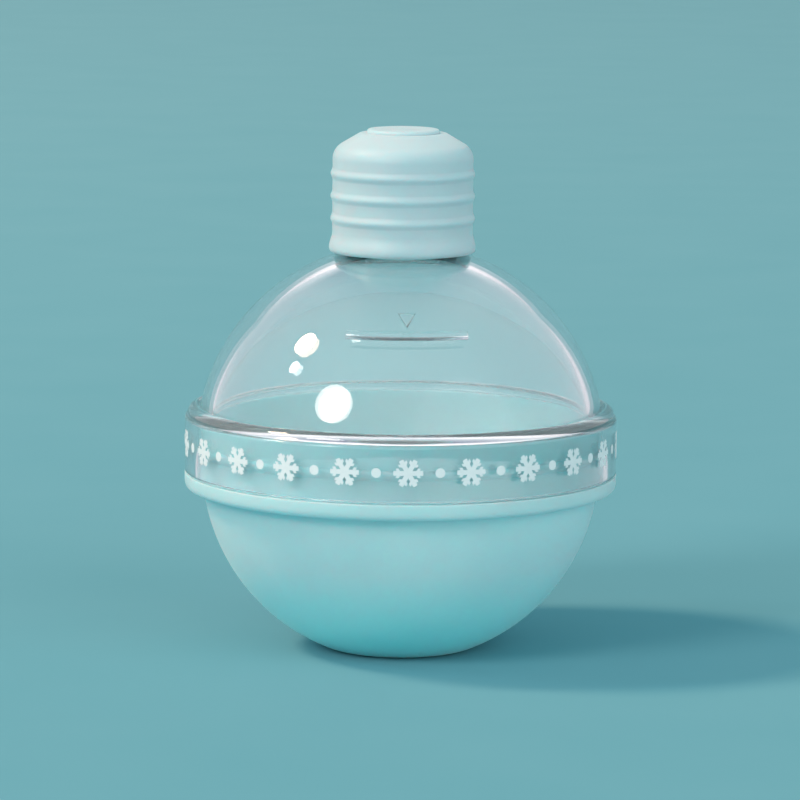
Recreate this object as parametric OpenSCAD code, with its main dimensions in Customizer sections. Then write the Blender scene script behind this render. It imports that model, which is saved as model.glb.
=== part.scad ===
// Ice ball mould in three loose pieces: a soft bowl, a clear dome that pushes
// down over the bowl's rim, and a soft cap that closes the dome's fill neck.
// The foot stands on z = 0, the common axis is Z and the fill line faces -Y.

/* [Ice ball] */
// Diameter of the ice ball
ball_d = 60; // [45:1:75]
// Height of the parting line above the middle of the ball
parting_h = 5.1; // [4:0.1:8]

/* [Bowl] */
// Thickness of the floor under the ball
floor_t = 1.8; // [1.2:0.1:2.8]
// How far the radius of the bowl's outside passes that of the ball
bowl_wall = 1.25; // [0.9:0.05:2]
// Drop of the centre of the bowl's outside below the middle of the ball
bowl_drop = 2.55; // [1.5:0.05:3.2]
// Radius of the soft edge round the foot
foot_round = 7; // [3:0.5:12]
// Thickness of the upstand at the middle of the ball
upstand_wall = 1.2; // [0.8:0.05:2]
// Radius of the top edge of the upstand
upstand_round = 0.4; // [0.2:0.05:0.6]
// Height of the rim bead below the skirt
bead_h = 2.65; // [2:0.05:4]
// Radius of the lower edge of the rim bead
bead_round = 1.5; // [0.5:0.1:1.9]
// Height of the sealing ridge above the middle of the ball
ridge_h = 0.4; // [-1:0.1:2]
// Radius of the round of the sealing ridge
ridge_round = 0.9; // [0.6:0.05:1.4]

/* [Dome] */
// Wall of the dome
dome_wall = 2.2; // [1.6:0.1:3]
// Wall of the skirt
skirt_wall = 2.3; // [1.6:0.1:3]
// Depth of the skirt below the parting line
skirt_drop = 8.6; // [7:0.1:12]
// Radius of the lower edges of the skirt
skirt_round = 0.3; // [0.1:0.05:0.6]
// Drop of the top edge of the skirt below the crest of the ring
shoulder_drop = 1.55; // [1.35:0.05:1.95]
// Radius of the top edge of the skirt
shoulder_round = 0.5; // [0.2:0.05:0.6]
// Radius of the round ring above the skirt
ring_round = 1.35; // [1.1:0.05:1.6]
// Height of the crest of the ring above the parting line
ring_h = 1.65; // [1.4:0.05:1.9]
// How far the ring stands back from the face of the skirt
ring_set = 0.45; // [0.3:0.05:0.6]

/* [Fill neck] */
// Bore of the neck
neck_bore = 14.8; // [10:0.2:19]
// Wall of the neck
neck_wall = 1.6; // [1.2:0.1:2.4]
// Height of the neck above the crown of the dome
neck_h = 12; // [10:0.5:16]
// Radius of the edges of the neck's rim
neck_round = 0.4; // [0.1:0.05:0.5]

/* [Fill line] */
// Depth of the fill line below the top of the ball
fill_depth = 9.3; // [7:0.1:14]
// Length of the raised bar round the dome
bar_l = 18.9; // [10:0.1:26]
// Height of the raised bar
bar_h = 1.24; // [0.8:0.02:2]
// How far the bar and its pointer stand out of the dome
bar_proud = 0.5; // [0.2:0.05:0.8]
// Space between the bar and its pointer
pointer_gap = 0.6; // [0.3:0.1:1]
// Height of the pointer
pointer_h = 1.9; // [1:0.1:2.5]
// Width of the pointer
pointer_w = 2.6; // [1.5:0.1:4]

/* [Cap] */
// Wall of the cap between its ribs
cap_wall = 1.95; // [1.4:0.05:2.5]
// How far the foot of the cap flares out of its wall
flare = 0.5; // [0.2:0.05:0.9]
// Radius of the edge of the flare
flare_round = 0.8; // [0.4:0.05:0.9]
// Height over which the flare fades into the wall
flare_h = 2.5; // [2:0.1:3]
// Number of grip ribs
rib_count = 3; // [2:1:4]
// Spacing of the grip ribs
rib_pitch = 3.5; // [3:0.05:3.8]
// Height of the first rib above the widest point of the flare
rib_start = 4.6; // [4:0.05:5.5]
// How far a rib stands out of the wall
rib_proud = 0.3; // [0.15:0.05:0.5]
// Height of a rib
rib_w = 1.9; // [1.4:0.1:3]
// Height of the crown above the neck's rim
crown_h = 5.95; // [5:0.05:8]
// Slope of the crown
crown_slope = 30.5; // [24:0.5:36]
// Radius of the shoulder below the crown
crown_round = 2.75; // [0.8:0.05:3.2]
// Diameter of the flat on the crown
shelf_d = 13.6; // [12.4:0.1:16]
// Diameter of the raised disc on the flat
disc_d = 11.4; // [10.2:0.1:12.2]
// Height of the raised disc
disc_h = 0.65; // [0.55:0.05:1]
// Radius of the edge of the disc
disc_round = 0.5; // [0.2:0.05:0.55]
// Diameter of the dish in the disc
dish_d = 9.2; // [6:0.1:9.8]
// Depth of the dish
dish_depth = 0.25; // [0.1:0.05:0.4]
// Height of the hollow in the cap above the neck's rim
air_h = 3; // [2:0.1:3.5]

/* [Clearances] */
// Between the upstand and the skirt
skirt_room = 0.5; // [0.3:0.05:0.8]
// Between the sealing ridge and the skirt
ridge_fit = 0.05; // [0.02:0.01:0.1]
// Between the lower edge of the skirt and the rim bead
bead_gap = 0.2; // [0.1:0.05:0.5]
// Between the neck and the cap that sits on it
cap_fit = 0.05; // [0.02:0.01:0.1]
// Between the dome and the underside of the cap
cap_lift = 0.65; // [0.2:0.05:0.8]

/* [Hidden] */
$fn = 96;

silicone_colour = [0.71, 0.87, 0.87];
clear_colour = [0.86, 0.93, 0.95, 0.4];
overlap = 0.5;

ball_r = ball_d / 2;
ball_z = ball_r + floor_t;
parting_z = ball_z + parting_h;

bowl_r = ball_r + bowl_wall;
bowl_z = ball_z - bowl_drop;
foot_r = sqrt(pow(bowl_r - foot_round, 2) - pow(bowl_z - foot_round, 2));
foot_edge_z = bowl_z - bowl_r * (bowl_z - foot_round) / (bowl_r - foot_round);

upstand_r = ball_r + upstand_wall;
skirt_in = upstand_r + skirt_room;
skirt_r = skirt_in + skirt_wall;
skirt_z = parting_z - skirt_drop;
bead_top = skirt_z - bead_gap;
bead_z = bead_top - bead_h;
ridge_r = skirt_in - ridge_fit;

dome_r = ball_r + dome_wall;
shoulder_z = parting_z + ring_h - shoulder_drop;
ring_r = skirt_r - ring_set - ring_round;
ring_z = parting_z + ring_h - ring_round;
neck_in = neck_bore / 2;
neck_r = neck_in + neck_wall;
neck_z = ball_z + dome_r + neck_h;

bar_z = ball_z + ball_r - fill_depth;
bar_r = sqrt(pow(dome_r, 2) - pow(bar_z - ball_z, 2));
bar_angle = bar_l / bar_r * 180 / PI;
pointer_z = bar_z + bar_h / 2 + pointer_gap;

cap_in = neck_r + cap_fit;
cap_r = cap_in + cap_wall;
flare_r = cap_r + flare;
under_r = dome_r + cap_lift;
flare_z = ball_z + sqrt(pow(under_r, 2) - pow(flare_r, 2)) + flare_round;
crown_z = neck_z + crown_h;
shelf_z = crown_z - disc_h;
shelf_r = shelf_d / 2;
corner_z = shelf_z - (cap_r - shelf_r) * tan(crown_slope);
corner_run = crown_round * tan((90 - crown_slope) / 2);
crown_edge_z = corner_z - corner_run;
rib_round = (pow(rib_w / 2, 2) + pow(rib_proud, 2)) / (2 * rib_proud);
dish_r = (pow(dish_d / 2, 2) + pow(dish_depth, 2)) / (2 * dish_depth);

// A slab of the profile from radius r0 to r1 and height z0 to z1
module slab(r0, r1, z0, z1) {
    translate([r0, z0]) square([r1 - r0, z1 - z0]);
}

// A round of the profile about radius r and height z
module round_at(r, z, size) {
    translate([r, z]) circle(size);
}

// A slab whose outer corners are rounded, at the top or at the bottom
module soft_slab(r0, r1, z0, z1, low = 0, high = 0) {
    intersection() {
        union() {
            slab(r0, r1, z0 + low, z1 - high);
            slab(r0, r1 - low, z0, z1 - high);
            slab(r0, r1 - high, z0 + low, z1);
            if (low > 0) round_at(r1 - low, z0 + low, low);
            if (high > 0) round_at(r1 - high, z1 - high, high);
        }
        slab(r0, r1, z0, z1);
    }
}

// The ball that the pieces close round
module ball_space() {
    round_at(0, ball_z, ball_r);
}

// The outside of the bowl below its bead, with the soft edge of the foot
module bowl_outside() {
    slab(0, foot_r, 0, foot_edge_z + overlap);
    intersection() {
        round_at(foot_r, foot_round, foot_round);
        slab(foot_r - overlap, bowl_r, 0, foot_edge_z + overlap);
    }
    intersection() {
        round_at(0, bowl_z, bowl_r);
        slab(0, bowl_r, foot_edge_z, bead_z + overlap);
    }
}

// The upstand that fills the inside of the skirt, with its sealing ridge
module upstand() {
    soft_slab(0, upstand_r, bead_z, parting_z, high = upstand_round);
    round_at(ridge_r - ridge_round, ball_z + ridge_h, ridge_round);
}

module bowl() {
    color(silicone_colour) rotate_extrude() difference() {
        intersection() {
            union() {
                bowl_outside();
                soft_slab(0, skirt_r, bead_z, bead_top, low = bead_round);
                upstand();
            }
            slab(0, skirt_r, 0, parting_z);
        }
        ball_space();
    }
}

// The dome and its neck, before the hollows are taken out
module dome_outside() {
    intersection() {
        round_at(0, ball_z, dome_r);
        slab(0, dome_r, parting_z, ball_z + dome_r);
    }
    soft_slab(0, neck_r, ball_z + ball_r, neck_z, high = neck_round);
}

// The skirt, and the round ring that joins it to the dome
module skirt() {
    round_at(ring_r, ring_z, ring_round);
    soft_slab(skirt_in - overlap, skirt_r, skirt_z, shoulder_z, low = skirt_round, high = shoulder_round);
}

// The space inside the skirt, up to the parting line, and the bore of the neck
module dome_hollows() {
    slab(0, skirt_in, skirt_z - overlap, parting_z);
    slab(0, neck_in, ball_z, neck_z + overlap);
}

// A layer on the outside of the dome, as thick as the raised marks
module mark_layer() {
    difference() {
        round_at(0, ball_z, dome_r + bar_proud);
        round_at(0, ball_z, dome_r - dome_wall / 2);
    }
}

// The raised bar of the fill line, along the front of the dome
module fill_bar() {
    rotate(-90 - bar_angle / 2) rotate_extrude(angle = bar_angle) intersection() {
        mark_layer();
        slab(0, dome_r + bar_proud, bar_z - bar_h / 2, bar_z + bar_h / 2);
    }
}

// The raised pointer above the bar, with its tip down
module pointer() {
    tip = [0, pointer_z];
    left = [-pointer_w / 2, pointer_z + pointer_h];
    right = [pointer_w / 2, pointer_z + pointer_h];
    intersection() {
        rotate_extrude() intersection() {
            mark_layer();
            slab(0, dome_r + bar_proud, ball_z, ball_z + dome_r + bar_proud);
        }
        rotate([90, 0, 0]) linear_extrude(dome_r + bar_proud) polygon([tip, right, left]);
    }
}

module dome() {
    color(clear_colour) union() {
        rotate_extrude() difference() {
            union() {
                dome_outside();
                skirt();
            }
            ball_space();
            dome_hollows();
        }
        fill_bar();
        pointer();
    }
}

// The flared foot of the cap, which fades into the wall above it
module cap_flare() {
    round_at(flare_r - flare_round, flare_z, flare_round);
    polygon([
        [0, ball_z + ball_r],
        [flare_r - flare_round, ball_z + ball_r],
        [flare_r - flare_round, flare_z],
        [flare_r, flare_z],
        [cap_r, flare_z + flare_h],
        [0, flare_z + flare_h]
    ]);
}

// A grip rib at height z, a soft swelling of the wall
module cap_rib(z) {
    intersection() {
        round_at(cap_r + rib_proud - rib_round, z, rib_round);
        slab(cap_in, flare_r, z - rib_w, z + rib_w);
    }
}

// The wall above the ribs, its round shoulder and the sloping crown
module cap_crown() {
    slab(0, cap_r, flare_z, crown_edge_z);
    round_at(cap_r - crown_round, crown_edge_z, crown_round);
    polygon([
        [0, crown_edge_z - overlap],
        [cap_r - crown_round, crown_edge_z - overlap],
        [cap_r - crown_round, crown_edge_z],
        [cap_r - corner_run * cos(crown_slope), corner_z + corner_run * sin(crown_slope)],
        [shelf_r, shelf_z],
        [0, shelf_z]
    ]);
}

// The hollow for the neck, the air space over its rim and the relief over the dome
module cap_hollows() {
    slab(0, cap_in, ball_z, neck_z);
    slab(0, neck_in, neck_z - overlap, neck_z + air_h);
    round_at(0, ball_z, under_r);
    round_at(0, crown_z + dish_r - dish_depth, dish_r);
}

module cap() {
    color(silicone_colour) rotate_extrude() intersection() {
        difference() {
            union() {
                cap_flare();
                for (i = [0:rib_count - 1]) cap_rib(flare_z + rib_start + i * rib_pitch);
                cap_crown();
                soft_slab(0, disc_d / 2, shelf_z - overlap, crown_z, high = disc_round);
            }
            cap_hollows();
        }
        slab(0, flare_r, ball_z, crown_z);
    }
}

bowl();
dome();
cap();
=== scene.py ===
import math

import bmesh
import bpy
from mathutils import Matrix, Vector


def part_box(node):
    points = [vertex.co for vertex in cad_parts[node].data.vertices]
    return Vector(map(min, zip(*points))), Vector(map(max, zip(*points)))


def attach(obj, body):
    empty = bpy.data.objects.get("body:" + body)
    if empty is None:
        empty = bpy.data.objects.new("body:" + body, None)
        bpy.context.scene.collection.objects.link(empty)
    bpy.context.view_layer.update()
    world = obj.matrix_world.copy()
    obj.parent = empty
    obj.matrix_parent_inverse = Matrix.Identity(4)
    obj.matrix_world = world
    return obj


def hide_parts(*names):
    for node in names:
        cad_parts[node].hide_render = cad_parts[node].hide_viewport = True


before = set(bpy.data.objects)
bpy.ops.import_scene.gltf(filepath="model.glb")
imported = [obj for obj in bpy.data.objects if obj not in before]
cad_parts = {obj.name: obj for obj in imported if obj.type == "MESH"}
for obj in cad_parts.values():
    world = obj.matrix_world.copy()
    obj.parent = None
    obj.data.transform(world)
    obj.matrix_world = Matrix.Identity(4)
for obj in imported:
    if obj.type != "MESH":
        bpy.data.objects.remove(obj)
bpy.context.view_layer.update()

MM = 0.001
TURN_STEPS = 264
FRONT = -math.pi / 2

# Sizes of the mould in millimetres. Those that the solids give come from their boxes.
_, rim_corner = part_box("bowl")
skirt_corner, neck_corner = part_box("dome")
_, crown_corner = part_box("cap")

ball_r = 30.0
floor_t = 1.8
ball_z = ball_r + floor_t
parting_z = rim_corner[2] / MM
seat_gap = 0.05
crease = 0.25
ring_crease = 0.08

# The print stands on the skirt, so the skirt itself stays a film's thickness inside its solid.
film = 0.03
skirt_r = neck_corner[0] / MM - film
skirt_z = skirt_corner[2] / MM
skirt_round = 0.08

bowl_wall = 1.25
bowl_drop = 2.55
bowl_r = ball_r + bowl_wall
bowl_z = ball_z - bowl_drop
foot_round = 7.0
upstand_wall = 1.2
upstand_r = ball_r + upstand_wall
upstand_round = 0.4
bead_gap = 0.3
bead_h = 2.55
bead_top = skirt_z - bead_gap
bead_z = bead_top - bead_h
bead_round = 1.5
bead_edge = 0.12
skirt_room = 0.5
skirt_in = upstand_r + skirt_room
ridge_room = 0.05
ridge_rise = 0.4
ridge_r = skirt_in - ridge_room
ridge_z = ball_z + ridge_rise
ridge_round = 0.9

dome_wall = 2.2
dome_r = ball_r + dome_wall
shoulder_h = 0.1
shoulder_z = parting_z + shoulder_h
shoulder_round = 0.5
shoulder_turn = math.radians(75)
ring_round = 1.35
ring_inset = 0.45
ring_h = 1.65
ring_r = skirt_r + film - ring_inset - ring_round
ring_z = parting_z + ring_h - ring_round
neck_in = 7.4
neck_wall = 1.6
neck_r = neck_in + neck_wall
neck_z = neck_corner[2] / MM
neck_round = 0.4

# The raised fill bar and the pointer over it. The bar's front is cut almost upright.
mark_proud = 0.5
mark_r = dome_r + mark_proud
bar_h = 1.24
bar_l = 18.9
fill_depth = 9.3
bar_z = ball_z + ball_r - fill_depth
bar_edge = 0.05
bar_front = 25.22
bar_lean = -0.03
pointer_h = 1.9
pointer_w = 2.6
pointer_gap = 0.6
pointer_z = bar_z + bar_h / 2 + pointer_gap
pointer_edge = 0.2
pointer_margin = 1.0

cap_room = 0.05
cap_in = neck_r + cap_room
flare_r = crown_corner[0] / MM
flare_proud = 0.5
cap_r = flare_r - flare_proud
hem_gap = 0.65
under_r = dome_r + hem_gap
flare_round = 0.8
flare_h = 2.5
flare_z = ball_z + math.sqrt(under_r ** 2 - flare_r ** 2) + flare_round
rib_count = 3
rib_start = 4.6
rib_pitch = 3.5
rib_w = 2.0
rib_proud = 0.3
crown_z = crown_corner[2] / MM
crown_slope = math.radians(30.5)
crown_round = 2.75
shelf_r = 6.8
disc_r = 5.7
disc_h = 0.65
disc_round = 0.5
disc_crease = 0.15
dish_r = 4.6
dish_depth = 0.25
air_h = 3.0
air_z = neck_z + air_h
air_round = 1.0

# How meshes are made and finished. A round takes no more than its share of the stretch beside it.
round_share = 0.49
skin_play = 0.02
weld = 0.0005
cut_play = 0.0001
sharp_turn = math.radians(38)


# Outlines are points of radius and height, turned about the mould's axis.
def arc(r, z, size, start, end, steps):
    """Points of a round about (r, z), from one angle to another. Zero points outwards, a quarter turn up."""
    turns = [start + (end - start) * i / steps for i in range(steps + 1)]
    return [(r + size * math.cos(turn), z + size * math.sin(turn)) for turn in turns]


def crossing(r, z, size, big_r, side):
    """Where a round about (r, z) crosses one about the ball's middle: the angles seen from both middles."""
    between = math.hypot(r, z - ball_z)
    along = (big_r ** 2 - size ** 2 + between ** 2) / (2 * between)
    big_turn = math.atan2(z - ball_z, r) + side * math.acos(along / big_r)
    return big_turn, math.atan2(ball_z + big_r * math.sin(big_turn) - z, big_r * math.cos(big_turn) - r)


def soft_corner(before, corner, after, size, steps=5):
    """The points that round off a corner between two straight stretches."""
    corner = Vector(corner)
    to_before = Vector(before) - corner
    to_after = Vector(after) - corner
    run = size / math.tan(to_before.angle(to_after) / 2)
    run = min(run, round_share * to_before.length, round_share * to_after.length)
    first = corner + to_before.normalized() * run
    last = corner + to_after.normalized() * run
    points = []
    for i in range(steps + 1):
        t = i / steps
        points.append(tuple(first * (1 - t) ** 2 + corner * 2 * t * (1 - t) + last * t ** 2))
    return points


def outline(*stretches):
    """Joins plain points (r, z), points with a rounded corner (r, z, size) and lists of points."""
    flat = []
    for stretch in stretches:
        flat.extend(stretch if isinstance(stretch, list) else [stretch])
    points = []
    for i, point in enumerate(flat):
        if len(point) == 2:
            points.append(point)
        else:
            after = flat[(i + 1) % len(flat)]
            points.extend(soft_corner(flat[i - 1][:2], point[:2], after[:2], point[2]))
    return points


def turned(points, closed=False):
    """A mesh turned from an outline. An open outline starts and ends on the axis."""
    mesh = bmesh.new()
    corners = [mesh.verts.new((r * MM, 0.0, z * MM)) for r, z in points]
    edges = [mesh.edges.new(pair) for pair in zip(corners, corners[1:])]
    if closed:
        edges.append(mesh.edges.new((corners[-1], corners[0])))
    bmesh.ops.spin(
        mesh,
        geom=corners + edges,
        cent=(0, 0, 0),
        axis=(0, 0, 1),
        angle=math.tau,
        steps=TURN_STEPS,
        use_merge=True,
        use_duplicate=False,
    )
    bmesh.ops.remove_doubles(mesh, verts=mesh.verts, dist=weld * MM)
    bmesh.ops.recalc_face_normals(mesh, faces=mesh.faces)
    return mesh


def piece(name, mesh, material, body, slot, *nodes):
    """A finished piece, which rides on a body and may stand for solids of the frame."""
    data = bpy.data.meshes.new(name)
    mesh.to_mesh(data)
    mesh.free()
    data.shade_smooth()
    data.set_sharp_from_angle(angle=sharp_turn)
    data.materials.append(material)
    made = bpy.data.objects.new(name, data)
    bpy.context.scene.collection.objects.link(made)
    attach(made, body)
    if nodes:
        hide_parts(*nodes)


# Materials. The bowl's silicone is painted deeper in tone towards the foot, a painted shade that stands in
# for teal light bounced up from the floor: deepest at the lower of two heights, and even from the upper one.
foot_shade_z = 3.0
foot_shade_end_z = 16.0
silicone_patch = 9.0
grain_size = 0.35
grain_depth = 0.02
haze_patch = 12.0
ink_patch = 0.6


def linear(colour):
    """A hex sRGB colour as the linear values that a shader takes."""
    parts = [int(colour[i:i + 2], 16) / 255 for i in (1, 3, 5)]
    return tuple(c / 12.92 if c <= 0.04045 else ((c + 0.055) / 1.055) ** 2.4 for c in parts) + (1.0,)


def add_node(tree, kind, inputs=None, **settings):
    """Adds a node, sets its options and fills or links its inputs."""
    node = tree.nodes.new(kind)
    for name, value in settings.items():
        setattr(node, name, value)
    for name, value in (inputs or {}).items():
        if isinstance(value, bpy.types.NodeSocket):
            tree.links.new(value, node.inputs[name])
        else:
            node.inputs[name].default_value = value
    return node


def new_material(name):
    """An empty material, its node tree and its Object coordinates."""
    material = bpy.data.materials.new(name)
    material.use_nodes = True
    tree = material.node_tree
    tree.nodes.clear()
    return material, tree, add_node(tree, "ShaderNodeTexCoord").outputs["Object"]


def mottled(tree, place, size, one, other):
    """A colour that drifts between two tones in patches of a size in millimetres."""
    patches = add_node(tree, "ShaderNodeTexNoise", {"Vector": place, "Scale": 1 / (size * MM), "Detail": 2.0})
    blend = {0: patches.outputs["Fac"], 6: linear(one), 7: linear(other)}
    return add_node(tree, "ShaderNodeMix", blend, data_type="RGBA").outputs[2]


def moulded_silicone(name, colour, pale, depth, painted_foot_shade):
    """Soft matt silicone from a blasted mould: pale mint with a fine grain. Towards the foot it is painted
    deeper in tone, a painted shade that stands in for teal light bounced up from the floor. Its thin walls
    glow with light behind."""
    material, tree, place = new_material(name)
    # Painted shade: below the upper height the colour blends into the deeper foot tone.
    height = add_node(tree, "ShaderNodeSeparateXYZ", {"Vector": place}).outputs["Z"]
    span = {"Value": height, "From Min": foot_shade_z * MM, "From Max": foot_shade_end_z * MM}
    above = add_node(tree, "ShaderNodeMapRange", span).outputs["Result"]
    blend = {0: above, 6: linear(painted_foot_shade), 7: mottled(tree, place, silicone_patch, colour, pale)}
    tone = add_node(tree, "ShaderNodeMix", blend, data_type="RGBA").outputs[2]
    grit = {"Vector": place, "Scale": 1 / (grain_size * MM), "Detail": 3.0}
    grain = add_node(tree, "ShaderNodeTexNoise", grit).outputs["Fac"]
    dull = add_node(tree, "ShaderNodeMapRange", {"Value": grain, "To Min": 0.36, "To Max": 0.5})
    relief = {"Height": grain, "Strength": 0.25, "Distance": grain_depth * MM}
    skin = add_node(tree, "ShaderNodeBump", relief)
    shader = add_node(
        tree,
        "ShaderNodeBsdfPrincipled",
        {
            "Base Color": tone,
            "Roughness": dull.outputs["Result"],
            "Normal": skin.outputs["Normal"],
            "IOR": 1.41,
            "Subsurface Weight": 1.0,
            "Subsurface Radius": (0.25, 1.0, 1.05),
            "Subsurface Scale": depth * MM,
            "Sheen Weight": 0.2,
            "Sheen Roughness": 0.5,
        },
    )
    add_node(tree, "ShaderNodeOutputMaterial", {"Surface": shader.outputs["BSDF"]})
    return material


def polished_clear_plastic(name):
    """Clear moulded plastic from a polished tool: glassy, with edges that gather the light.
    Lamps shine through it."""
    material, tree, place = new_material(name)
    patches = {"Vector": place, "Scale": 1 / (haze_patch * MM), "Detail": 2.0}
    haze = add_node(tree, "ShaderNodeTexNoise", patches).outputs["Fac"]
    gloss = add_node(tree, "ShaderNodeMapRange", {"Value": haze, "To Min": 0.0, "To Max": 0.03})
    shader = add_node(
        tree,
        "ShaderNodeBsdfPrincipled",
        {
            "Base Color": linear("#FFFFFF"),
            "Roughness": gloss.outputs["Result"],
            "IOR": 1.56,
            "Transmission Weight": 0.97,
        },
    )
    lamp_way = add_node(tree, "ShaderNodeBsdfTransparent", {"Color": linear("#66A6B7")})
    rays = add_node(tree, "ShaderNodeLightPath")
    blend = {0: rays.outputs["Is Shadow Ray"], 1: shader.outputs["BSDF"], 2: lamp_way.outputs["BSDF"]}
    both = add_node(tree, "ShaderNodeMixShader", blend)
    add_node(tree, "ShaderNodeOutputMaterial", {"Surface": both.outputs["Shader"]})
    return material


def pad_print_ink(name):
    """White pad-printing ink: an opaque, slightly chalky film."""
    material, tree, place = new_material(name)
    tone = mottled(tree, place, ink_patch, "#F2F2F4", "#FCFBFC")
    shader = add_node(tree, "ShaderNodeBsdfPrincipled", {"Base Color": tone, "Roughness": 0.45, "IOR": 1.5})
    add_node(tree, "ShaderNodeOutputMaterial", {"Surface": shader.outputs["BSDF"]})
    return material


# The bowl
def bowl_outline():
    foot_r = math.sqrt((bowl_r - foot_round) ** 2 - (bowl_z - foot_round) ** 2)
    foot_turn = math.atan2(foot_round - bowl_z, foot_r)
    under_turn = math.asin((bead_z - bowl_z) / bowl_r)
    ridge_turn = math.acos((upstand_r - ridge_r + ridge_round) / ridge_round)
    rim_z = parting_z - seat_gap
    rim_turn = math.asin((rim_z - ball_z) / ball_r)
    return outline(
        (0, 0),
        arc(foot_r, foot_round, foot_round, -math.pi / 2, foot_turn, 8),
        arc(0, bowl_z, bowl_r, foot_turn, under_turn, 48)[1:-1],
        (bowl_r * math.cos(under_turn), bead_z, crease),
        (skirt_r, bead_z, bead_round),
        (skirt_r, bead_top, bead_edge),
        (upstand_r, bead_top, crease),
        arc(ridge_r - ridge_round, ridge_z, ridge_round, -ridge_turn, ridge_turn, 12),
        (upstand_r, rim_z, upstand_round),
        (ball_r * math.cos(rim_turn), rim_z, crease),
        arc(0, ball_z, ball_r, rim_turn, -math.pi / 2, 64)[1:-1],
        (0, floor_t),
    )


# The dome
def dome_outline():
    notch_turn = math.asin((shoulder_z - ring_z) / ring_round)
    groove_turn, ring_turn = crossing(ring_r, ring_z, ring_round, dome_r, 1)
    low_turn = math.asin((bar_z - bar_h / 2 - ball_z) / dome_r)
    high_turn = math.asin((bar_z + bar_h / 2 - ball_z) / dome_r)
    neck_turn = math.acos(neck_r / dome_r)
    bore_turn = math.acos(neck_in / ball_r)
    rim_turn = math.asin((parting_z - ball_z) / ball_r)
    return outline(
        (skirt_in, skirt_z, skirt_round),
        (skirt_r, skirt_z, skirt_round),
        arc(skirt_r - shoulder_round, shoulder_z - shoulder_round, shoulder_round, 0, shoulder_turn, 8),
        (ring_r + ring_round * math.cos(notch_turn), shoulder_z, ring_crease),
        arc(ring_r, ring_z, ring_round, notch_turn, ring_turn, 24)[1:-1],
        (dome_r * math.cos(groove_turn), ball_z + dome_r * math.sin(groove_turn), ring_crease),
        arc(0, ball_z, dome_r, groove_turn, low_turn, 36)[1:],
        arc(0, ball_z, dome_r, low_turn, high_turn, 4)[1:],
        arc(0, ball_z, dome_r, high_turn, neck_turn, 36)[1:-1],
        (neck_r, ball_z + dome_r * math.sin(neck_turn), crease),
        (neck_r, neck_z, neck_round),
        (neck_in, neck_z, neck_round),
        (neck_in, ball_z + ball_r * math.sin(bore_turn), crease),
        arc(0, ball_z, ball_r, bore_turn, rim_turn, 72)[1:-1],
        (ball_r * math.cos(rim_turn), parting_z, crease),
        (skirt_in, parting_z, crease),
    )


def front_faces(mesh, low, high, half_turn):
    """The faces of the dome's outside between two heights, to either side of the front."""
    found = []
    for face in mesh.faces:
        middle = face.calc_center_median() / MM
        outside = abs((middle - Vector((0, 0, ball_z))).length - dome_r) < skin_play
        if outside and low < middle.z < high and abs(math.atan2(middle.y, middle.x) - FRONT) < half_turn:
            found.append(face)
    return found


def raise_mark(mesh, faces, edge_round, front_r=mark_r, lean=0.0):
    """Lifts faces straight out of the dome as one raised mark and rounds its edge. The mark reaches no
    further out than a front with a radius of its own at the fill bar's middle, which may lean."""
    lifted = bmesh.ops.extrude_face_region(mesh, geom=faces)["geom"]
    bmesh.ops.delete(mesh, geom=faces, context="FACES")
    tops = {part for part in lifted if isinstance(part, bmesh.types.BMFace)}
    for corner in {corner for top in tops for corner in top.verts}:
        reach = math.sqrt((mark_r * MM) ** 2 - (corner.co.z - ball_z * MM) ** 2)
        front = front_r * MM + (corner.co.z - bar_z * MM) * lean
        corner.co.xy = corner.co.xy.normalized() * min(reach, front)
    bmesh.ops.recalc_face_normals(mesh, faces=mesh.faces)
    rim = {edge for top in tops for edge in top.edges if sum(face in tops for face in edge.link_faces) == 1}
    bmesh.ops.bevel(
        mesh,
        geom=list(rim),
        offset=edge_round * MM,
        affect="EDGES",
        segments=8,
        profile=0.5,
        material=-1,
    )


def dome_mesh():
    mesh = turned(dome_outline(), closed=True)
    bar_r = math.sqrt(dome_r ** 2 - (bar_z - ball_z) ** 2)
    bar = front_faces(mesh, bar_z - bar_h / 2, bar_z + bar_h / 2, bar_l / bar_r / 2)
    raise_mark(mesh, bar, bar_edge, bar_front, bar_lean)
    tip = Vector((0, pointer_z))
    left = Vector((-pointer_w / 2, pointer_z + pointer_h))
    right = Vector((pointer_w / 2, pointer_z + pointer_h))
    sides = ((tip, right), (right, left), (left, tip))
    top_z = pointer_z + pointer_h + pointer_margin
    near = front_faces(mesh, pointer_z - pointer_margin, top_z, pointer_w / bar_r)
    for start, end in sides:
        parts = {part for face in near for part in (face, *face.edges, *face.verts)}
        cut = bmesh.ops.bisect_plane(
            mesh,
            geom=list(parts),
            dist=cut_play * MM,
            plane_co=(start.x * MM, 0, start.y * MM),
            plane_no=(start.y - end.y, 0, end.x - start.x),
        )
        near = [part for part in cut["geom"] if isinstance(part, bmesh.types.BMFace)]
    pointer = []
    for face in near:
        middle = face.calc_center_median() / MM
        if all((end - start).cross(middle.xz - start) > 0 for start, end in sides):
            pointer.append(face)
    pointer = bmesh.ops.dissolve_faces(mesh, faces=pointer)["region"]
    raise_mark(mesh, pointer, pointer_edge)
    return mesh


# The cap
def swelling(r, proud, z, height, start, end, steps):
    """Points of a soft wave in a wall, from one part of its turn to another."""
    turns = [start + (end - start) * i / steps for i in range(steps + 1)]
    return [(r + proud * (1 + math.cos(turn)) / 2, z + height * turn / math.tau) for turn in turns]


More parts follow.
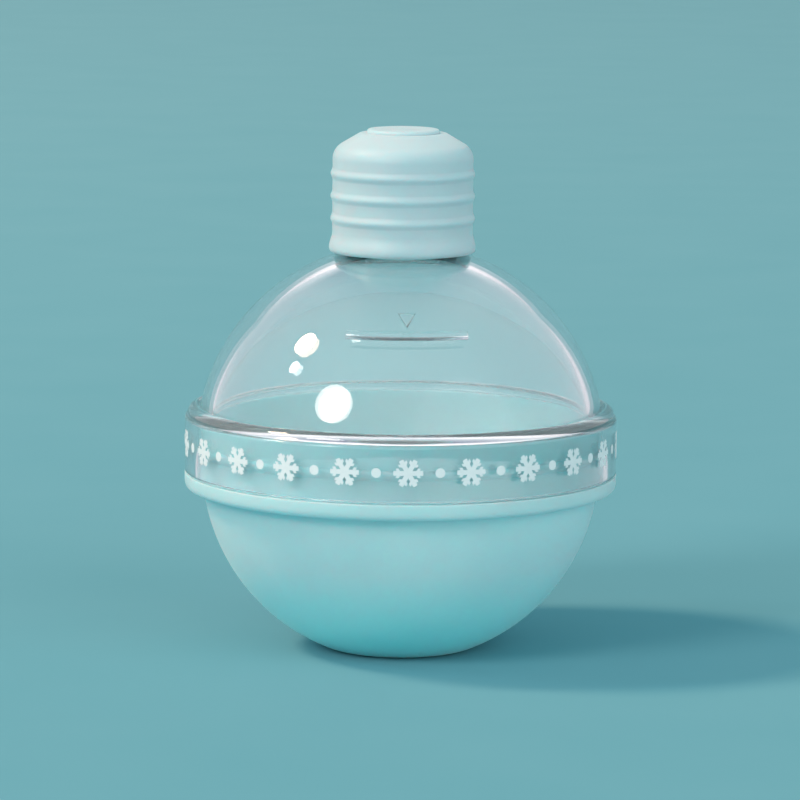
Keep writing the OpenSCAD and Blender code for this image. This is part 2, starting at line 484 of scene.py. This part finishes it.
def cap_outline():
    hem_r = flare_r - flare_round
    hem_turn, edge_turn = crossing(hem_r, flare_z, flare_round, under_r, -1)
    under_turn = math.acos(cap_in / under_r)
    ribs = []
    for i in range(rib_count):
        ribs += swelling(cap_r, rib_proud, flare_z + rib_start + i * rib_pitch, rib_w, -math.pi, math.pi, 16)
    shelf_z = crown_z - disc_h
    corner_z = shelf_z - (cap_r - shelf_r) * math.tan(crown_slope)
    crown_edge_z = corner_z - crown_round * math.tan((math.pi / 2 - crown_slope) / 2)
    dish_ball = (dish_r ** 2 + dish_depth ** 2) / (2 * dish_depth)
    dish_turn = math.asin(dish_r / dish_ball)
    return outline(
        (0, air_z),
        (neck_in, air_z, air_round),
        (neck_in, neck_z, crease),
        (cap_in, neck_z, crease),
        (cap_in, ball_z + under_r * math.sin(under_turn), crease),
        arc(0, ball_z, under_r, under_turn, hem_turn, 4)[1:-1],
        (under_r * math.cos(hem_turn), ball_z + under_r * math.sin(hem_turn), crease),
        arc(hem_r, flare_z, flare_round, edge_turn, 0, 6)[1:-1],
        swelling(cap_r, flare_r - cap_r, flare_z, 2 * flare_h, 0, math.pi, 14),
        ribs,
        arc(cap_r - crown_round, crown_edge_z, crown_round, 0, math.pi / 2 - crown_slope, 12),
        (shelf_r, shelf_z, crease),
        (disc_r, shelf_z, disc_crease),
        arc(disc_r - disc_round, crown_z - disc_round, disc_round, 0, math.pi / 2, 8),
        arc(0, crown_z + dish_ball - dish_depth, dish_ball, dish_turn - math.pi / 2, -math.pi / 2, 12),
    )


# The printed ring: six-armed frost marks with a dot between each two, drawn flat, cut in strips and wrapped
mark_count = 22
mark_size = 4.5
mark_arm = 0.74
twig_start = 0.6
twig_w = 0.5
twig_l = 0.42
dot_r = 0.75
print_z = ball_z + 1.15
print_bite = 0.01
strip_w = 0.5
strips_left = 5
strips_right = 15


def grow(mesh, edge, way):
    """Draws an edge out into a new face. Gives its far edge and its two sides."""
    made = bmesh.ops.extrude_edge_only(mesh, edges=[edge])["geom"]
    corners = [part for part in made if isinstance(part, bmesh.types.BMVert)]
    bmesh.ops.translate(mesh, verts=corners, vec=way)
    far = mesh.edges.get(corners)
    sides = [side for side in far.link_faces[0].edges if side not in (edge, far)]
    return far, sides


def frost_mark(mesh):
    """A hexagon whose sides grow into arms with side twigs."""
    core = bmesh.ops.create_circle(mesh, cap_ends=True, segments=6, radius=mark_arm * MM)
    for edge in {edge for corner in core["verts"] for edge in corner.link_edges}:
        middle = (edge.verts[0].co + edge.verts[1].co) / 2
        way = middle.normalized()
        arm, _ = grow(mesh, edge, way * twig_start * MM)
        fork, sides = grow(mesh, arm, way * twig_w * MM)
        grow(mesh, fork, way * (mark_size / 2 - twig_start - twig_w) * MM - middle)
        for side in sides:
            aside = (side.verts[0].co + side.verts[1].co) / 2 - middle
            aside = (aside - way * aside.dot(way)).normalized()
            grow(mesh, side, (way + aside * math.sqrt(3)) / 2 * twig_l * MM)


def print_mesh():
    mesh = bmesh.new()
    frost_mark(mesh)
    half_pitch = math.pi * skirt_r / mark_count
    spot = Matrix.Translation((half_pitch * MM, 0, 0))
    bmesh.ops.create_circle(mesh, cap_ends=True, segments=32, radius=dot_r * MM, matrix=spot)
    for i in range(-strips_left, strips_right + 1):
        parts = [*mesh.verts, *mesh.edges, *mesh.faces]
        bmesh.ops.bisect_plane(mesh, geom=parts, plane_co=(i * strip_w * MM, 0, 0), plane_no=(1, 0, 0))
    for corner in mesh.verts:
        turn = FRONT + corner.co.x / (skirt_r * MM)
        reach = (skirt_r - print_bite) * MM
        corner.co = (reach * math.cos(turn), reach * math.sin(turn), print_z * MM + corner.co.y)
    lifted = bmesh.ops.extrude_face_region(mesh, geom=mesh.faces[:])["geom"]
    for corner in lifted:
        if isinstance(corner, bmesh.types.BMVert):
            corner.co.xy = corner.co.xy.normalized() * (skirt_r + film) * MM
    bmesh.ops.recalc_face_normals(mesh, faces=mesh.faces)
    bmesh.ops.spin(
        mesh,
        geom=[*mesh.verts, *mesh.edges, *mesh.faces],
        cent=(0, 0, 0),
        axis=(0, 0, 1),
        angle=math.tau * (mark_count - 1) / mark_count,
        steps=mark_count - 1,
        use_merge=False,
        use_duplicate=True,
    )
    return mesh


# The last colour given to each silicone is its painted foot shade. The cap's is its own colour, so it shows
# none.
bowl_silicone = moulded_silicone("moulded_mint_silicone_bowl", "#C4E1E5", "#CEE8EB", 3.0, "#92F2F4")
cap_silicone = moulded_silicone("moulded_mint_silicone_cap", "#C6D8DE", "#D1E0E5", 1.0, "#C6D8DE")
clear_plastic = polished_clear_plastic("polished_clear_plastic")
white_ink = pad_print_ink("white_pad_print_ink")

piece("silicone_bowl", turned(bowl_outline()), bowl_silicone, "lower", "bowl_silicone", "bowl")
piece("clear_dome", dome_mesh(), clear_plastic, "upper", "clear_plastic", "dome")
piece("silicone_cap", turned(cap_outline()), cap_silicone, "stopper", "cap_silicone", "cap")
piece("printed_frost_ring", print_mesh(), white_ink, "upper", "white_ink")

# Studio: a floor of pale paper, and behind it a screen of the same colour with a pale room round it
floor_half = 3.0
screen_y = 2.5
screen_half = 1.8
screen_top = 1.2
cove = 0.3
paper_patch = 40.0
fade_rag = 0.3
fade_depth = 2.2


def seen(tree):
    """One for a ray that shows something to the eye: straight, mirrored or through the plastic, not by way
    of a matt surface."""
    rays = add_node(tree, "ShaderNodeLightPath").outputs
    value = rays["Is Camera Ray"]
    for ray in ("Is Glossy Ray", "Is Transmission Ray"):
        both = {0: value, 1: rays[ray]}
        value = add_node(tree, "ShaderNodeMath", both, operation="MAXIMUM").outputs["Value"]
    fresh = add_node(tree, "ShaderNodeMath", {0: rays["Diffuse Depth"], 1: 0.5}, operation="LESS_THAN")
    both = {0: value, 1: fresh.outputs["Value"]}
    return add_node(tree, "ShaderNodeMath", both, operation="MULTIPLY").outputs["Value"]


def background_paper(name, near, far, glow):
    """Matt background paper, faintly mottled and paler further back. One that glows shows the eye its own
    colour, however it is lit."""
    material, tree, place = new_material(name)
    depth = add_node(tree, "ShaderNodeSeparateXYZ", {"Vector": place}).outputs["Y"]
    spots = {"Vector": place, "Scale": 1 / (paper_patch * MM), "Detail": 2.0}
    patches = add_node(tree, "ShaderNodeTexNoise", spots)
    parts = {0: patches.outputs["Fac"], 1: fade_rag, 2: depth}
    ragged = add_node(tree, "ShaderNodeMath", parts, operation="MULTIPLY_ADD")
    span = {"Value": ragged.outputs["Value"], "From Min": 0.0, "From Max": fade_depth}
    fade = add_node(tree, "ShaderNodeMapRange", span)
    blend = {0: fade.outputs["Result"], 6: linear(near), 7: linear(far)}
    tone = add_node(tree, "ShaderNodeMix", blend, data_type="RGBA").outputs[2]
    shader = add_node(tree, "ShaderNodeBsdfDiffuse", {"Color": tone}).outputs["BSDF"]
    if glow:
        own = add_node(tree, "ShaderNodeEmission", {"Color": tone, "Strength": 1.0}).outputs["Emission"]
        shader = add_node(tree, "ShaderNodeMixShader", {0: seen(tree), 1: shader, 2: own}).outputs["Shader"]
    add_node(tree, "ShaderNodeOutputMaterial", {"Surface": shader})
    return material


def paper_sheet(name, points, half, material):
    """A sheet of paper drawn out sideways from a line of depths and heights."""
    mesh = bmesh.new()
    corners = [mesh.verts.new((-half, y, z)) for y, z in points]
    line = [mesh.edges.new(pair) for pair in zip(corners, corners[1:])]
    drawn = bmesh.ops.extrude_edge_only(mesh, edges=line)["geom"]
    far = [part for part in drawn if isinstance(part, bmesh.types.BMVert)]
    bmesh.ops.translate(mesh, verts=far, vec=(2 * half, 0, 0))
    bmesh.ops.recalc_face_normals(mesh, faces=mesh.faces)
    data = bpy.data.meshes.new(name)
    mesh.to_mesh(data)
    mesh.free()
    data.shade_smooth()
    data.materials.append(material)
    sheet = bpy.data.objects.new(name, data)
    bpy.context.scene.collection.objects.link(sheet)


bend = arc(screen_y, cove, cove, -math.pi / 2, 0, 16)
floor_paper = background_paper("matt_floor_paper", "#74ADBA", "#A0CBD4", False)
screen_paper = background_paper("matt_screen_paper", "#7CB0B8", "#7EB2BA", True)
paper_sheet("studio_floor", [(-floor_half, 0), (screen_y, 0)], floor_half, floor_paper)
paper_sheet("studio_screen", bend + [(screen_y + cove, screen_top)], screen_half, screen_paper)

lamp_distance = 3.5


def soft_lamp(name, way, wide, level, colour, mirrored=True, shows_through=True):
    """A round soft lamp, so many degrees wide as seen from the mould. At level 1 it alone shows a colour as
    written. Its image may be kept out of mirrored light and out of light that comes through the plastic."""
    lamp = bpy.data.lights.new(name, "AREA")
    lamp.shape = "DISK"
    lamp.size = 2 * lamp_distance * math.tan(math.radians(wide) / 2)
    lamp.energy = level * (math.pi * lamp_distance) ** 2
    lamp.color = linear(colour)[:3]
    made = bpy.data.objects.new(name, lamp)
    made.visible_camera = False
    made.visible_glossy = mirrored
    made.visible_transmission = shows_through
    way = Vector(way).normalized()
    place = Vector((0, 0, ball_z * MM)) + way * lamp_distance
    made.matrix_world = Matrix.Translation(place) @ way.to_track_quat("Z", "Y").to_matrix().to_4x4()
    bpy.context.scene.collection.objects.link(made)


soft_lamp("key_lamp", (-0.68, 0.04, 0.73), 10.5, 0.5, "#FFD8BC")
soft_lamp("front_lamp", (-0.625, -0.616, 0.477), 20.0, 0.34, "#FFF4EC")
soft_lamp("small_lamp", (-0.794, -0.073, 0.602), 5.5, 0.05, "#FFFFFF")

# The fill light is two lamps, because the dome would show the image of a single strong one.
soft_lamp("fill_lamp", (0.62, -0.76, 0.2), 60.0, 0.24, "#FFF6F0", mirrored=False, shows_through=False)
soft_lamp("inner_fill_lamp", (0.6, -0.77, 0.22), 64.0, 0.28, "#FFF6F0", mirrored=False)

world = bpy.data.worlds.new("pale_room")
bpy.context.scene.world = world
world.use_nodes = True
room = world.node_tree
room.nodes.clear()
ways = add_node(room, "ShaderNodeTexCoord").outputs["Generated"]
way = add_node(room, "ShaderNodeSeparateXYZ", {"Vector": ways}).outputs
behind = add_node(room, "ShaderNodeValToRGB", {"Fac": way["Z"]})
stops = behind.color_ramp.elements
stops.new(0.42)
stops.new(0.5)
for stop, place, colour in zip(stops, (0.34, 0.42, 0.5, 0.6), ("#ABA8AE", "#E6DFE3", "#E6DFE3", "#3C4362")):
    stop.position = place
    stop.color = linear(colour)
aside = add_node(room, "ShaderNodeMath", {0: way["X"]}, operation="ABSOLUTE").outputs["Value"]
turned_aside = add_node(room, "ShaderNodeMapRange", {"Value": aside, "From Min": 0.1, "From Max": 0.4})
blend = {0: turned_aside.outputs["Result"], 6: behind.outputs["Color"], 7: linear("#ABA8AE")}
rear = add_node(room, "ShaderNodeMix", blend, data_type="RGBA")
depth = add_node(room, "ShaderNodeMapRange", {"Value": way["Y"], "From Min": -0.5, "From Max": 0.7})
walls = add_node(
    room,
    "ShaderNodeMix",
    {0: depth.outputs["Result"], 6: linear("#F4F6F7"), 7: rear.outputs[2]},
    data_type="RGBA",
)
room_seen = seen(room)
room_tone = add_node(
    room, "ShaderNodeMix", {0: room_seen, 6: linear("#B6E6ED"), 7: walls.outputs[2]}, data_type="RGBA"
)
room_level = add_node(room, "ShaderNodeMapRange", {"Value": room_seen, "To Min": 0.6, "To Max": 2.0})
sky = add_node(
    room, "ShaderNodeBackground", {"Color": room_tone.outputs[2], "Strength": room_level.outputs["Result"]}
)
add_node(room, "ShaderNodeOutputWorld", {"Surface": sky.outputs["Background"]})

# Camera
image_side = 800
focal_px = 4650.5
sensor = 36.0
camera_distance = 0.7315
camera_elevation = math.radians(8.18)
camera_turn = math.radians(-2.0)
camera_roll = math.radians(0.5)
aim = Vector((-0.157, 0, ball_z + 7.4)) * MM

camera_data = bpy.data.cameras.new("camera")
camera_data.sensor_width = sensor
camera_data.lens = focal_px / image_side * sensor
camera = bpy.data.objects.new("camera", camera_data)
back = Vector((0, -math.cos(camera_elevation), math.sin(camera_elevation)))
back.rotate(Matrix.Rotation(camera_turn, 3, "Z"))
facing = back.to_track_quat("Z", "Y").to_matrix().to_4x4() @ Matrix.Rotation(camera_roll, 4, "Z")
camera.matrix_world = Matrix.Translation(aim + back * camera_distance) @ facing
bpy.context.scene.collection.objects.link(camera)
bpy.context.scene.camera = camera

bpy.context.scene.view_settings.view_transform = "Standard"

# Light is mirrored to and fro many times inside the clear ring before it leaves.
bpy.context.scene.cycles.max_bounces = 24
bpy.context.scene.cycles.glossy_bounces = 24
bpy.context.scene.cycles.transmission_bounces = 24
